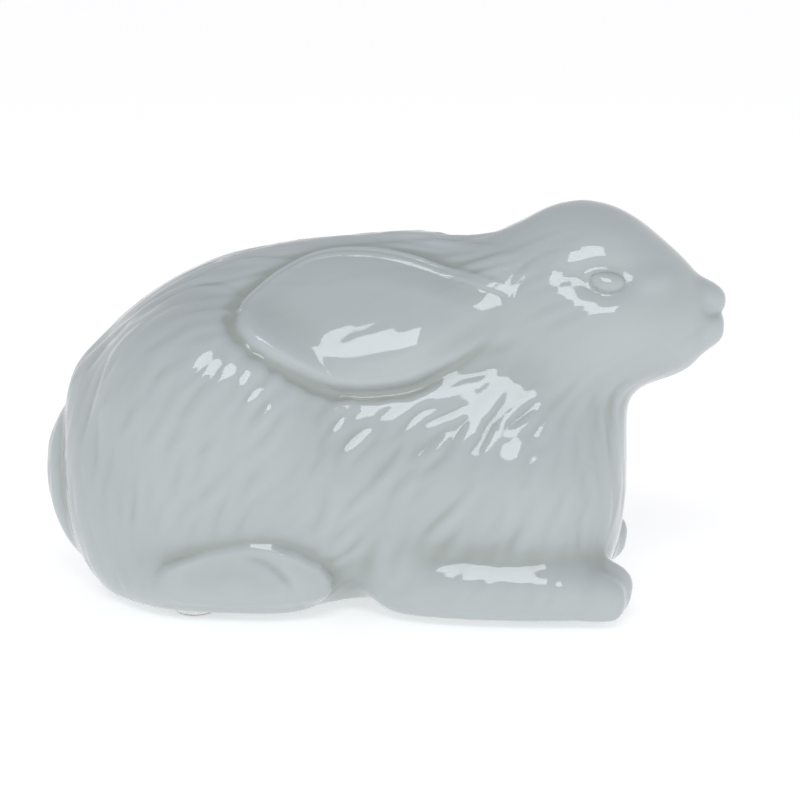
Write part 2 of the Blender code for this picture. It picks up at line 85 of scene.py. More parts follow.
# Legs, toes, tail and muzzle: x, y, z, half width across, half height, all on the left side
HAUNCH = (
    (-38.0, 7.0, 21.0, 8.0, 13.0),
    (-30.0, 10.0, 23.5, 12.2, 20.5),
    (-22.0, 12.0, 23.5, 11.0, 20.0),
    (-13.5, 12.6, 19.5, 8.8, 13.5),
    (-7.5, 12.0, 15.0, 5.5, 7.0),
)
SHOULDER = (
    (4.0, 9.5, 16.0, 5.0, 8.0),
    (9.5, 10.6, 19.0, 7.6, 10.5),
    (16.0, 11.0, 19.0, 8.4, 10.5),
    (22.5, 10.6, 19.0, 8.4, 9.5),
    (28.0, 9.0, 18.5, 5.0, 8.0),
)
FORELEG = (
    (11.0, 10.5, 15.0, 6.8, 8.0),
    (3.8, 12.2, 9.6, 5.6, 6.6),
    (4.4, 12.2, 4.8, 6.2, 6.2),
    (13.0, 13.1, 3.8, 6.8, 6.1),
    (23.0, 13.3, 3.8, 6.8, 5.8),
    (29.5, 13.0, 3.6, 6.6, 5.2),
    (32.6, 12.6, 3.2, 4.9, 3.8),
    (34.2, 12.2, 3.0, 2.2, 2.0),
)
FORE_TOES = (
    ((27.0, 9.6, 3.8, 2.6, 3.6), (31.8, 9.0, 3.3, 2.9, 4.3),
     (34.6, 8.9, 2.9, 2.4, 3.5), (36.1, 8.9, 2.7, 1.2, 2.0)),
    ((27.0, 12.0, 4.0, 2.8, 4.0), (32.6, 12.0, 3.5, 3.1, 4.7),
     (35.7, 12.0, 3.1, 2.6, 3.9), (37.4, 12.0, 2.8, 1.3, 2.2)),
    ((27.0, 15.4, 3.4, 2.6, 3.6), (31.8, 15.9, 2.9, 2.9, 4.1),
     (34.8, 15.9, 2.6, 2.4, 3.4), (36.5, 15.8, 2.4, 1.2, 1.8)),
)
HIND_FOOT = (
    (-37.0, 12.6, 3.6, 2.4, 3.4),
    (-31.0, 14.0, 4.4, 5.6, 5.0),
    (-21.5, 14.6, 4.8, 6.3, 5.8),
    (-14.0, 14.4, 4.6, 6.1, 5.6),
    (-9.6, 13.6, 4.2, 4.8, 4.5),
    (-7.2, 13.0, 3.8, 2.6, 2.8),
)
TAIL = (
    (-46.6, 0.0, 27.0, 2.4, 2.2),
    (-47.6, 0.0, 21.0, 4.6, 3.6),
    (-47.4, 0.0, 14.8, 5.4, 3.9),
    (-45.8, 0.0, 8.4, 4.8, 3.4),
    (-44.0, 0.0, 4.2, 2.4, 2.2),
)
LIP = (
    (41.5, 0.0, 41.0, 7.4, 7.4),
    (45.4, 0.0, 40.7, 6.0, 4.9),
    (48.2, 0.0, 40.8, 4.6, 3.3),
    (50.2, 0.0, 40.8, 2.6, 2.0),
)
NOSE = (
    (44.0, 0.0, 45.0, 5.2, 4.0),
    (47.4, 0.0, 44.8, 4.0, 3.0),
    (49.4, 0.0, 44.4, 2.6, 2.1),
    (50.4, 0.0, 44.1, 1.2, 1.1),
)
LEFT_PAW_BACK = 1.0
LEFT_PAW_UP = 2.0
RING_SIDES = 48
STEPS_BETWEEN_STATIONS = 8
LEAST_LENGTH = 1e-6

# The grid on which each group of bodies is fused, the radius that its creases are rounded to, and
# how many easing steps that takes
MASS_VOXEL = 0.6
MASS_FILLET = 2.4
LEG_FILLET = 2.0
DETAIL_VOXEL = 0.515
DETAIL_FILLET = 0.9
EDGE_FILLET = 0.5
STEPS_PER_FILLET = 4
STEPS_PER_CUT = 5


def along(stations, steps=STEPS_BETWEEN_STATIONS):
    """Rows between the stations, on one smooth curve through them."""
    rows = []
    last = len(stations) - 1
    for i in range(last):
        before = stations[max(i - 1, 0)]
        here = stations[i]
        there = stations[i + 1]
        after = stations[min(i + 2, last)]
        for step in range(steps):
            t = step / steps
            row = []
            for a, b, c, d in zip(before, here, there, after):
                bend = 2 * a - 5 * b + 4 * c - d + t * (3 * (b - c) + d - a)
                row.append(b + 0.5 * t * (c - a + t * bend))
            rows.append(row)
    rows.append(list(stations[-1]))
    return rows


def shifted(stations, back, up):
    """The same limb a little nearer to the tail and higher."""
    return [(x - back, y, z + up, across, tall) for x, y, z, across, tall in stations]


def upright_rings(stations):
    """Rings across the body, each in a plane of its own x."""
    rings = []
    for x, top, bottom, half_width, level, lean in along(stations):
        widest = bottom + level * (top - bottom)
        ring = []
        for side in range(RING_SIDES):
            turn = 2 * math.pi * side / RING_SIDES
            lift = math.sin(turn)
            reach = top - widest if lift > 0 else widest - bottom
            drawn_in = 1 - lean * max(lift, 0)
            ring.append(Vector((x, half_width * math.cos(turn) * drawn_in, widest + reach * lift)))
        rings.append(ring)
    return rings


def limb_rings(stations, mirror):
    """Rings square to the path of a limb, level across it."""
    rows = along(stations)
    middles = [Vector((row[0], row[1] * mirror, row[2])) for row in rows]
    rings = []
    for i, row in enumerate(rows):
        ahead = middles[min(i + 1, len(rows) - 1)] - middles[max(i - 1, 0)]
        across = Vector((-ahead.y, ahead.x, 0.0))
        if across.length < LEAST_LENGTH:
            across = Vector((0.0, 1.0, 0.0))
        across.normalize()
        up = ahead.cross(across).normalized()
        ring = []
        for side in range(RING_SIDES):
            turn = 2 * math.pi * side / RING_SIDES
            ring.append(middles[i] + across * row[3] * math.cos(turn) + up * row[4] * math.sin(turn))
        rings.append(ring)
    return rings


def skin_rings(mesh, rings):
    """Skin a row of rings into one closed body."""
    loops = []
    for ring in rings:
        loops.append([mesh.verts.new(point * SHARE) for point in ring])
    for lower, upper in zip(loops, loops[1:]):
        for i in range(RING_SIDES):
            j = (i + 1) % RING_SIDES
            mesh.faces.new((lower[i], lower[j], upper[j], upper[i]))
    for loop in (loops[0], loops[-1]):
        middle = sum((vert.co for vert in loop), Vector()) / RING_SIDES
        tip = mesh.verts.new(middle)
        for i in range(RING_SIDES):
            mesh.faces.new((loop[i], loop[(i + 1) % RING_SIDES], tip))


def remeshed(data, voxel):
    """Fuse overlapping closed bodies into one skin of even quads."""
    obj = bpy.data.objects.new("clay", data)
    bpy.context.scene.collection.objects.link(obj)
    modifier = obj.modifiers.new("fuse", "REMESH")
    modifier.mode = "VOXEL"
    modifier.voxel_size = voxel * SHARE
    graph = bpy.context.evaluated_depsgraph_get()
    result = bpy.data.meshes.new_from_object(obj.evaluated_get(graph))
    bpy.data.objects.remove(obj)
    return result


def eased_points(data, points, steps, amount=1.0):
    """Draw each point towards the middle of its neighbours, a number of times."""
    pairs = np.empty(2 * len(data.edges), np.int32)
    data.edges.foreach_get("vertices", pairs)
    one, other = pairs.reshape(-1, 2).T
    count = len(points)
    neighbours = np.bincount(pairs, minlength=count)[:, None]
    amount = np.broadcast_to(amount, count)[:, None]
    for _ in range(steps):
        total = np.empty_like(points)
        for k in range(3):
            total[:, k] = np.bincount(one, points[other, k], count)
            total[:, k] += np.bincount(other, points[one, k], count)
        points = points + 0.5 * amount * (total / neighbours - points)
    return points


def fused(pieces, start, voxel, fillet):
    """Fuse overlapping bodies into one skin and round its creases to about the fillet's radius."""
    mesh = bmesh.new()
    if start:
        mesh.from_mesh(start)
    for rings in pieces:
        skin_rings(mesh, rings)
    bmesh.ops.recalc_face_normals(mesh, faces=mesh.faces[:])
    data = bpy.data.meshes.new("clay")
    mesh.to_mesh(data)
    mesh.free()
    data = remeshed(data, voxel)
    steps = round(STEPS_PER_FILLET * (fillet / voxel) ** 2)
    put_points(data, eased_points(data, points_of(data)[0], steps))
    return data


def points_of(data):
    """The mesh's points and outward normals, in shares of the length."""
    count = len(data.vertices)
    points = np.empty(3 * count, np.float32)
    normals = np.empty(3 * count, np.float32)
    data.vertices.foreach_get("co", points)
    data.vertex_normals.foreach_get("vector", normals)
    return points.reshape(-1, 3).astype(float) / SHARE, normals.reshape(-1, 3).astype(float)


def put_points(data, points):
    """Move the mesh's points to new places, given in shares of the length."""
    data.vertices.foreach_set("co", (points * SHARE).astype(np.float32).ravel())
    data.update()


def ease(low, high, value):
    """0 below low, 1 above high and a smooth slope between."""
    t = np.clip((value - low) / (high - low), 0, 1)
    return t * t * (3 - 2 * t)


def hump(distance, width):
    """1 at no distance, falling softly to nothing over about twice the width."""
    return np.exp(-((distance / width) ** 2))


def refined(data, wanted, cuts):
    """A finer grid where it is wanted, eased so that the coarse grid doesn't show in the gloss."""
    mesh = bmesh.new()
    mesh.from_mesh(data)
    inside = wanted(points_of(data)[0])
    edges = [edge for edge in mesh.edges if inside[edge.verts[0].index] and inside[edge.verts[1].index]]
    bmesh.ops.subdivide_edges(mesh, edges=edges, cuts=cuts, use_grid_fill=True)
    mesh.to_mesh(data)
    mesh.free()
    points = points_of(data)[0]
    put_points(data, eased_points(data, points, STEPS_PER_CUT * (cuts + 1), wanted(points)))


masses = [upright_rings(TRUNK), upright_rings(HEAD)]
legs = []
details = [limb_rings(TAIL, 1), limb_rings(LIP, 1), limb_rings(NOSE, 1)]
for mirror in (1, -1):
    back, up = (LEFT_PAW_BACK, LEFT_PAW_UP) if mirror == 1 else (0, 0)
    masses.append(limb_rings(HAUNCH, mirror))
    masses.append(limb_rings(SHOULDER, mirror))
    legs.append(limb_rings(shifted(FORELEG, back, up), mirror))
    legs.append(limb_rings(HIND_FOOT, mirror))
    for toe in FORE_TOES:
        details.append(limb_rings(shifted(toe, back, up), mirror))
body = fused(masses, None, MASS_VOXEL, MASS_FILLET)
body = fused(legs, body, MASS_VOXEL, LEG_FILLET)
body = fused(details, body, DETAIL_VOXEL, DETAIL_FILLET)
points = points_of(body)[0]
points[:, 2] = np.maximum(points[:, 2], 0)
put_points(body, points)
body = fused([], body, DETAIL_VOXEL, EDGE_FILLET)

# The ears were laid on the clay as two leaves. The upper edge is a thin rolled rim with a second,
# finer one inside it. Round the tip and along the lower edge the modeller pressed a broad soft
# groove. The stations: x, then how far down the skin the upper and the lower edge lie, from the
# line of the spine.
EAR = (
    (-20.1, 15.2, 16.6),
    (-19.6, 12.9, 18.8),
    (-18.0, 10.3, 21.0),
    (-15.0, 7.3, 23.2),
    (-11.0, 5.0, 25.5),
    (-7.4, 4.1, 27.3),
    (-3.6, 4.0, 28.0),
    (0.2, 4.3, 27.7),
    (4.5, 5.0, 26.5),
    (8.0, 5.9, 24.2),
    (12.0, 7.2, 20.6),
    (16.0, 9.0, 16.8),
    (19.5, 10.4, 14.0),
)
EAR_AXIS_HEIGHT = 28.0
EAR_SKIN_RADIUS = 23.0
EAR_RISE = 0.9
EAR_FLAP = 1.3
EAR_EDGE = 0.9
EAR_CROWN = 1.5
EAR_RIM = 0.19
EAR_RIM_WIDTH = 0.55
EAR_LINE = 0.75
EAR_EDGE_RIM = 0.36
EAR_ROOT = (17.0, 7.6)
EAR_ROOT_HALF = (3.4, 2.2)
EAR_ROOT_RISE = 0.40
EAR_GROOVE = 0.55
EAR_GROOVE_WIDTH = 1.3
EAR_GROOVE_LEAST = 0.3
EAR_CROWN_MIDDLE = -0.15
CROWN_SLOPE = (0.0, 5.0)
LOWER_HALF = (-0.5, 0.1)
RIM_STEP = (-0.6, 0.0)
EDGE_RIM_LINE = -0.1

# Where along the rabbit the leaf lifts off the flank and sinks into the head, and where its rims and
# its groove begin and end
EAR_LIFTS = (-20.0, 4.0)
EAR_SINKS = (5.0, 18.0)
EDGE_RIM_ENDS = (6.0, 14.0)
INNER_RIM_BEGINS = (-14.0, -10.0)
RIMS_END = (15.0, 21.0)
GROOVE_ENDS = (3.0, 14.0)
EAR_RIM_GRID = (-0.5, 1.9)


def depth_inside(u, v, outline):
    """Signed distance from a closed line: positive inside it."""
    distance = np.full(len(u), 1e9)
    inside = np.zeros(len(u), bool)
    for (a, b), (c, d) in zip(outline, outline[1:] + outline[:1]):
        run, rise = c - a, d - b
        share = np.clip(((u - a) * run + (v - b) * rise) / (run * run + rise * rise), 0, 1)
        distance = np.minimum(distance, np.hypot(u - a - share * run, v - b - share * rise))
        if b != d:
            inside ^= ((b > v) != (d > v)) & (u < a + (v - b) / rise * run)
    return np.where(inside, distance, -distance)


def ear_place(points):
    """How deep inside the ear's edge each point lies, how far across it, -1 to 1, and down the skin."""
    down = EAR_SKIN_RADIUS * np.arctan2(np.abs(points[:, 1]), points[:, 2] - EAR_AXIS_HEIGHT)
    rows = np.array(along(EAR))
    outline = [(x, upper) for x, upper, lower in rows] + [(x, lower) for x, upper, lower in rows[::-1]]
    upper = np.interp(points[:, 0], rows[:, 0], rows[:, 1])
    lower = np.interp(points[:, 0], rows[:, 0], rows[:, 2])
    depth = depth_inside(points[:, 0], down, outline)
    return depth, (2 * down - upper - lower) / (lower - upper), down


def ear_height(points):
    """How far the ears stand above the flank, and where the flank is under an ear."""
    depth, across, down = ear_place(points)
    x = points[:, 0]
    low_edge = ease(*LOWER_HALF, across)
    along_ear = ease(*EAR_LIFTS, x)
    height = (EAR_RISE + EAR_FLAP * along_ear * ease(-1, 1, across)) * ease(-EAR_EDGE, EAR_EDGE, depth)
    crown = np.clip(1 - ((across - EAR_CROWN_MIDDLE) / (1 - EAR_CROWN_MIDDLE)) ** 2, 0, 1)
    height += EAR_CROWN * crown * ease(*CROWN_SLOPE, depth) * along_ear
    height *= 1 - ease(*EAR_SINKS, x)
    edge_rim = 1 - np.clip((depth - EDGE_RIM_LINE) / EAR_RIM_WIDTH, 0, 1) ** 2
    inner_rim = 1 - np.clip((depth - EAR_LINE) / EAR_RIM_WIDTH, 0, 1) ** 2
    rim = EAR_EDGE_RIM * edge_rim * (1 - ease(*EDGE_RIM_ENDS, x))
    rim += EAR_RIM * inner_rim * ease(*INNER_RIM_BEGINS, x)
    height += rim * ease(*RIM_STEP, depth) * (1 - low_edge) * (1 - ease(*RIMS_END, x))
    root = np.hypot((x - EAR_ROOT[0]) / EAR_ROOT_HALF[0], (down - EAR_ROOT[1]) / EAR_ROOT_HALF[1])
    height += EAR_ROOT_RISE * hump(root, 1)
    groove = hump(depth + EAR_EDGE + EAR_GROOVE_WIDTH / 2, EAR_GROOVE_WIDTH)
    groove *= EAR_GROOVE_LEAST + (1 - EAR_GROOVE_LEAST) * low_edge
    height -= EAR_GROOVE * groove * (1 - ease(*GROOVE_ENDS, x))
    return height, ease(-EAR_EDGE, 0, depth)


def ear_rim(points):
    """Where the thin rims of the ears need a finer grid."""
    depth, across, down = ear_place(points)
    return (depth > EAR_RIM_GRID[0]) & (depth < EAR_RIM_GRID[1]) & (across < 0)


# Each eye is a low dome between two thin lids, in a shallow socket under a soft brow. The mouth and
# the notch under the nose are faint cuts. Each hind foot is a leaf laid on the haunch, with a cut
# that sets off its outer toe. Places are in the side view, and those round the eye start from its
# middle.
EYE = (33.1, 49.3)
EYE_HALF = (2.6, 1.5)
EYE_TILT = -6.0
EYE_RISE = 0.95
EYE_FULLNESS = 0.7
EYE_SIDE = (3.5, 7.5)
EYE_GRID = 1.6
EYE_GRID_SIDE = 8.0
UPPER_LID = 1.2
LID_RISE = 0.12
LID_STEP = 0.1
LID_WIDTH = 0.38
LID_ENDS = (0.0, 0.9)
SOCKET = (-0.1, 0.5)
SOCKET_HALF = (4.5, 3.0)
SOCKET_DEPTH = 1.1
BROW = (-2.2, 7.0)
BROW_HALF = (6.5, 3.0)
BROW_RISE = 0.22
CORNER = (6.9, -0.7)
CORNER_HALF = (2.3, 1.5)
CORNER_RISE = 0.42
FOLD_SLOPE = 0.24
FOLD_HEIGHT = 1.4
FOLD_DROP = 0.15
FOLD_DROP_OVER = (-7.0, 4.0)
FOLD_WIDTH = 0.25
FOLD_WIDENING = 0.36
FOLD_WIDENS_OVER = (-8.0, 5.0)
FOLD_REACH = 3.2
FOLD_BEGINS = (-9.0, -7.5)
FOLD_ENDS = (-1.0, 6.0)
NOSE_NOTCH = 0.38
NOTCH_HEIGHT = 42.9
NOTCH_WIDTH = 0.55
NOTCH_FRONT = (46.5, 49.5)
MOUTH = ((43.6, 39.3), (46.6, 41.2), (51.0, 42.3))

# The hind feet: the edge of the leaf in the side view, how far it stands out, and its rounded edge
HIND_FOOT_EDGE = (
    (-33.0, -4.0), (-32.4, 3.2), (-31.8, 5.6), (-30.4, 7.4), (-27.4, 8.7), (-24.2, 9.9), (-20.5, 10.8),
    (-17.7, 11.2), (-15.0, 11.1), (-11.4, 10.0), (-8.0, 8.0), (-6.6, 5.9), (-6.8, 3.7), (-8.4, 1.0),
    (-9.0, -4.0),
)
FOOT_FACE = 20.7
FOOT_LEAST_RISE = 0.35
FOOT_MOST_RISE = 1.2
FOOT_EDGE = 0.50
FOOT_SLOPE = 1.7
FOOT_ROLL = 0.06
FOOT_ROLL_WIDTH = 0.6
FOOT_SIDE = 12.0
FOOT_BEGINS = (-34.0, -27.0)
FOOT_BASE = (1.0, 4.0)
FOOT_GRID = (-0.6, 1.2)
FOOT_GRID_BASE = 4.0
HIND_TOE = ((-18.4, 9.4), (-15.6, 8.4), (-13.0, 6.0), (-11.6, 4.0), (-10.8, 1.4))
MOUTH_CUT = 0.12
TOE_CUT = 0.30
CUT_WIDTH = 0.65


def eye_reach(points, middle, half, tilt=EYE_TILT):
    """How far each point lies from the middle of an oval by the nearer eye, in sizes of that oval."""
    x = points[:, 0] - EYE[0] - middle[0]
    z = points[:, 2] - EYE[1] - middle[1]
    turn = math.radians(tilt)
    u = (x * math.cos(turn) + z * math.sin(turn)) / half[0]
    v = (z * math.cos(turn) - x * math.sin(turn)) / half[1]
    return np.hypot(u, v), u, v


def eye_height(points):
    """The dome of the eye with its lids, fold, brow, corner and socket."""
    reach, u, v = eye_reach(points, (0, 0), EYE_HALF)
    reach = np.where(v > 0, np.hypot(u, UPPER_LID * v), reach)
    dome = EYE_RISE * np.clip(1 - reach ** 2, 0, 1) ** EYE_FULLNESS
    lid = LID_RISE * np.clip((reach - 1) / LID_STEP, 0, 1)
    lid *= 1 - np.clip((reach - 1 - LID_STEP) / LID_WIDTH, 0, 1) ** 2
    lid *= 1 - ease(*LID_ENDS, u)
    behind = points[:, 0] - EYE[0]
    drop = FOLD_DROP * np.clip(behind - FOLD_DROP_OVER[0], 0, FOLD_DROP_OVER[1])
    above = points[:, 2] - EYE[1] - FOLD_HEIGHT + drop
    width = FOLD_WIDTH + FOLD_WIDENING * np.clip(behind - FOLD_WIDENS_OVER[0], 0, FOLD_WIDENS_OVER[1])
    fold = FOLD_SLOPE * width * np.tanh(above / width) * hump(above, FOLD_REACH)
    fold *= ease(*FOLD_BEGINS, behind) * (1 - ease(*FOLD_ENDS, behind))
    socket = SOCKET_DEPTH * hump(eye_reach(points, SOCKET, SOCKET_HALF)[0], 1)
    brow = BROW_RISE * hump(eye_reach(points, BROW, BROW_HALF)[0], 1)
    corner = CORNER_RISE * hump(eye_reach(points, CORNER, CORNER_HALF)[0], 1)
    return (dome + lid + brow + fold + corner - socket) * ease(*EYE_SIDE, np.abs(points[:, 1]))


def eye_lids(points):
    """Where the eyes and their lids need a finer grid."""
    return (eye_reach(points, (0, 0), EYE_HALF)[0] < EYE_GRID) & (np.abs(points[:, 1]) > EYE_GRID_SIDE)


def nose_height(points):
    """The notch between the nose and the upper lip."""
    return -NOSE_NOTCH * hump(points[:, 2] - NOTCH_HEIGHT, NOTCH_WIDTH) * ease(*NOTCH_FRONT, points[:, 0])


def line_cut(points, line, depth, least_side):
    """A shallow cut that follows a line of the side view on both sides and fades at its ends."""
    cut = np.zeros(len(points))
    rows = along(line)
    for i, (x, z) in enumerate(rows):
        strength = math.sin(math.pi * (i + 0.5) / len(rows)) ** 0.5
        gap = np.hypot(points[:, 0] - x, points[:, 2] - z)
        cut = np.maximum(cut, strength * hump(gap, CUT_WIDTH))
    return -depth * cut * (np.abs(points[:, 1]) > least_side)


def foot_height(points):
    """The hind feet: flat leaves on the haunches with a rounded upper edge."""
    side = np.abs(points[:, 1])
    depth = depth_inside(points[:, 0], points[:, 2], list(HIND_FOOT_EDGE))
    rise = np.clip(FOOT_FACE - side, FOOT_LEAST_RISE, FOOT_MOST_RISE)
    fade = ease(*FOOT_BEGINS, points[:, 0]) * (side > FOOT_SIDE) * ease(*FOOT_BASE, points[:, 2])
    roll = FOOT_ROLL * hump(depth - FOOT_EDGE, FOOT_ROLL_WIDTH)
    short_of_face = 1 - np.clip((depth + FOOT_EDGE) / FOOT_SLOPE, 0, 1)
    return (rise * (1 - short_of_face ** 2) + roll) * fade


def foot_edge(points):
    """Where the rounded edge of the hind feet needs a finer grid."""
    depth = depth_inside(points[:, 0], points[:, 2], list(HIND_FOOT_EDGE))
    near = (depth > FOOT_GRID[0]) & (depth < FOOT_GRID[1])
    return near & (np.abs(points[:, 1]) > FOOT_SIDE) & (points[:, 2] > FOOT_GRID_BASE)


refined(body, ear_rim, 2)
refined(body, foot_edge, 1)
refined(body, eye_lids, 2)
points, normals = points_of(body)
ears, on_ear = ear_height(points)
face = eye_height(points)
face += line_cut(points, MOUTH, MOUTH_CUT, 0) + nose_height(points)
face += foot_height(points) + line_cut(points, HIND_TOE, TOE_CUT, FOOT_SIDE)

# The fur is combed into the clay with a wooden tool: short tapering strokes, each a ridge beside a
# groove, which run back and down along the body. Their places in the side view with the combing
# there, as an angle down towards the tail.
COMB = (
    (10.0, 52.0, 4.0), (-12.0, 51.0, 6.0), (-25.0, 48.0, 25.0), (-38.0, 41.0, 50.0), (-46.0, 28.0, 82.0),
    (5.0, 31.0, 42.0), (-10.0, 31.0, 45.0), (-22.0, 33.0, 55.0), (-33.0, 28.0, 74.0), (-43.0, 18.0, 92.0),
    (-10.0, 20.0, 48.0), (-24.0, 19.0, 60.0), (-34.0, 10.0, 78.0), (-3.0, 12.0, 58.0),
    (35.0, 40.0, 22.0), (24.0, 40.0, 32.0), (15.0, 42.0, 24.0), (40.0, 50.0, 20.0), (28.0, 55.0, 10.0),
    (18.0, 28.0, 60.0), (8.0, 20.0, 54.0), (25.0, 16.0, 68.0), (34.0, 25.0, 78.0), (34.0, 12.0, 82.0),
)
FUR_SEED = 3
FUR_SPACING = 3.0
FUR_LENGTH = 9.0
FUR_WIDTH = 1.3
FUR_DEPTH = 0.08
FUR_SIZES = (0.75, 1.25)
FUR_TURN = 0.13
FUR_BEND = 0.022
FUR_DEPTH_SPREAD = 4
FUR_LIMITS = (-3, 2)
FUR_REACH = 0.62
COMB_SOFTNESS = 9.0
LEAST_FUR = 0.1

# Across a stroke: the height, place and width of its ridge, and the same of its groove
STROKE_RIDGE = (0.55, 0.75, 0.8)
STROKE_GROOVE = (1.0, -0.35, 0.62)

# The strokes are longer and finer on the back, and fainter on the neck, the face and the feet
BACK_HEIGHT = (43.0, 48.0)
BACK_ENDS = (24.0, 30.0)
BACK_LONGER = 0.8
BACK_FINER = 0.35
NECK = ((12.0, 22.0), (30.0, 37.0), 0.55)
FACE = ((24.0, 34.0), (34.0, 42.0), 0.3)
FOREFOOT = ((6.0, 10.0), (7.5, 10.5), 0.6)
HINDFOOT = ((-36.0, -33.0), (-9.0, -6.0), (11.0, 14.0), 0.8)
FUR_BASE = (1.0, 4.0)
EAR_SMOOTHNESS = 0.8

# The thin ridges: their distance from the spine, depth, width and wander
RIDGE_LINES = (1.2, 3.6, 6.2)
RIDGE_DEPTH = 0.19
RIDGE_WIDTH = 0.75
RIDGE_WANDER = 0.5
RIDGE_HEIGHT = (22.0, 30.0)
RIDGE_BEGINS = (-49.0, -46.0)
RIDGE_ENDS = (4.0, 12.0)
RIDGE_WAVE = 5.0
RIDGE_SWELL = 3.6
RIDGE_LEAST = 0.6
BASE_EDGE = (0.2, 1.5)


def combing(points):
    """The way the fur lies: a unit direction in the side view, for each point."""
    total = np.zeros((len(points), 2))
    for x, z, angle in COMB:
        near = 1 / ((points[:, 0] - x) ** 2 + (points[:, 2] - z) ** 2 + COMB_SOFTNESS) ** 1.5
        total[:, 0] -= near * math.cos(math.radians(angle))
        total[:, 1] -= near * math.sin(math.radians(angle))
    return total / np.linalg.norm(total, axis=1)[:, None]


def fur_amount(points):
    """How deep the fur is cut: full on the body, fainter on the head and the feet, none at the base."""
    x, z = points[:, 0], points[:, 2]
    amount = np.ones(len(points))
    for ahead_of, above, smoothness in (NECK, FACE):
        amount -= smoothness * ease(*ahead_of, x) * ease(*above, z)
    ahead_of, below, smoothness = FOREFOOT
    amount *= 1 - smoothness * ease(*ahead_of, x) * (1 - ease(*below, z))
    ahead_of, behind, below, smoothness = HINDFOOT
    amount *= 1 - smoothness * ease(*ahead_of, x) * (1 - ease(*behind, x)) * (1 - ease(*below, z))
    return amount * ease(*FUR_BASE, z)


def fur_height(points, normals):
    """The strokes' height over the smooth clay."""
    picker = np.random.default_rng(FUR_SEED)
    tree = kdtree.KDTree(len(points))
    for i, point in enumerate(points):
        tree.insert(point, i)
    tree.balance()
    height = np.zeros(len(points))
    amount = fur_amount(points)
    taken = np.zeros(len(points), bool)
    for index in picker.permutation(len(points)):
        if taken[index] or amount[index] < LEAST_FUR:
            continue
        size = picker.uniform(*FUR_SIZES, 3)
        turn = picker.normal(0, FUR_TURN)
        bend = picker.normal(0, FUR_BEND)
        centre = points[index]
        near = [hit[1] for hit in tree.find_range(centre, FUR_SPACING)]
        taken[near] = True
        flow = combing(points[index:index + 1])[0]
        normal = normals[index]
        ahead = np.array((flow[0], 0.0, flow[1]))
        ahead -= normal * (ahead @ normal)
        ahead /= np.linalg.norm(ahead)
        across = np.cross(normal, ahead)
        ahead, across = (ahead * math.cos(turn) + across * math.sin(turn),
                         across * math.cos(turn) - ahead * math.sin(turn))
        back = ease(*BACK_HEIGHT, centre[2]) * (1 - ease(*BACK_ENDS, centre[0]))
        length = FUR_LENGTH * size[0] * (1 + BACK_LONGER * back)
        width = FUR_WIDTH * size[1] * (1 - BACK_FINER * back)
        around = np.array([hit[1] for hit in tree.find_range(centre, length * FUR_REACH)])
        offset = points[around] - centre
        u = offset @ ahead / (length / 2)
        v = (offset @ across - bend * (offset @ ahead) ** 2) / width
        facing = np.clip(normals[around] @ normal, 0, 1)
        taper = np.clip(1 - u * u, 0, 1)
        wedge = STROKE_RIDGE[0] * hump(v - STROKE_RIDGE[1], STROKE_RIDGE[2])
        wedge -= STROKE_GROOVE[0] * hump(v - STROKE_GROOVE[1], STROKE_GROOVE[2])
        height[around] += FUR_DEPTH * size[2] ** FUR_DEPTH_SPREAD * taper * wedge * facing
    return np.clip(height, FUR_LIMITS[0] * FUR_DEPTH, FUR_LIMITS[1] * FUR_DEPTH) * amount


def back_ridges(points):
    """Long thin ridges combed along the back, on both sides of the spine."""
    x, side, z = points[:, 0], np.abs(points[:, 1]), points[:, 2]
    along_back = ease(*RIDGE_HEIGHT, z) * ease(*RIDGE_BEGINS, x) * (1 - ease(*RIDGE_ENDS, x))
    height = np.zeros(len(points))
    for i, line in enumerate(RIDGE_LINES):
        wander = RIDGE_WANDER * np.sin(x / (RIDGE_WAVE + i) + 2.0 * i)
        strength = RIDGE_LEAST + (1 - RIDGE_LEAST) * np.sin(x / (RIDGE_SWELL + 0.7 * i) + i)
        height += RIDGE_DEPTH * strength * hump(side - line - wander, RIDGE_WIDTH)
    return height * along_back


fur = (fur_height(points, normals) + back_ridges(points)) * (1 - EAR_SMOOTHNESS * on_ear)
points += normals * ((ears + face + fur) * ease(*BASE_EDGE, points[:, 2]))[:, None]
length = points[:, 0].max() - points[:, 0].min()
points[:, 0] -= (points[:, 0].max() + points[:, 0].min()) / 2
points *= 100 / length
points[:, 2] += BASE_HEIGHT / SHARE
put_points(body, points)
body.name = "rabbit_glazed"

# The glaze is a pale grey celadon, fired to a clear gloss over white stoneware, so it gives sharp
# highlights. It runs off the ridges, where the white shows through, and pools in the grooves, where
# it is deeper and greener. The darker colour in the grooves and creases is partly that pooling and
# partly painted shade in the recesses.
GLAZE = "#B0B7B8"
GLAZE_THIN = "#B6BDBE"
# The groove colour is partly pooled glaze and partly painted shade in the creases
GLAZE_POOLED_AND_SHADED = "#A1A7A3"
POOL_AND_SHADE_STEPS = 36
POOL_AND_SHADE_DEPTH = 0.00045
THIN_UP_TO = 0.1
POOLED_AND_SHADED_FROM = 0.9
GLAZE_ROUGHNESS = 0.06
GLAZE_IOR = 1.5


def colour(hex_code):
    """An sRGB hex value as linear red, green, blue and full alpha."""
    linear = []
    for place in (1, 3, 5):
        value = int(hex_code[place:place + 2], 16) / 255
        linear.append(value / 12.92 if value <= 0.04045 else ((value + 0.055) / 1.055) ** 2.4)
    return (*linear, 1.0)


def add_node(material, kind, settings=None, links=None, **inputs):
    """Add a node with its settings, its input values and the sockets that feed it."""
    node = material.node_tree.nodes.new(kind)
    for name, value in (settings or {}).items():
        setattr(node, name, value)
    for name, value in inputs.items():
        node.inputs[name.replace("_", " ")].default_value = value
    for socket, source in (links or {}).items():
        material.node_tree.links.new(source, node.inputs[socket])
    return node


def new_material(name):
    """An empty material whose output is fed by one Principled shader."""
    material = bpy.data.materials.new(name)
    material.use_nodes = True
    return material, material.node_tree.nodes["Principled BSDF"]


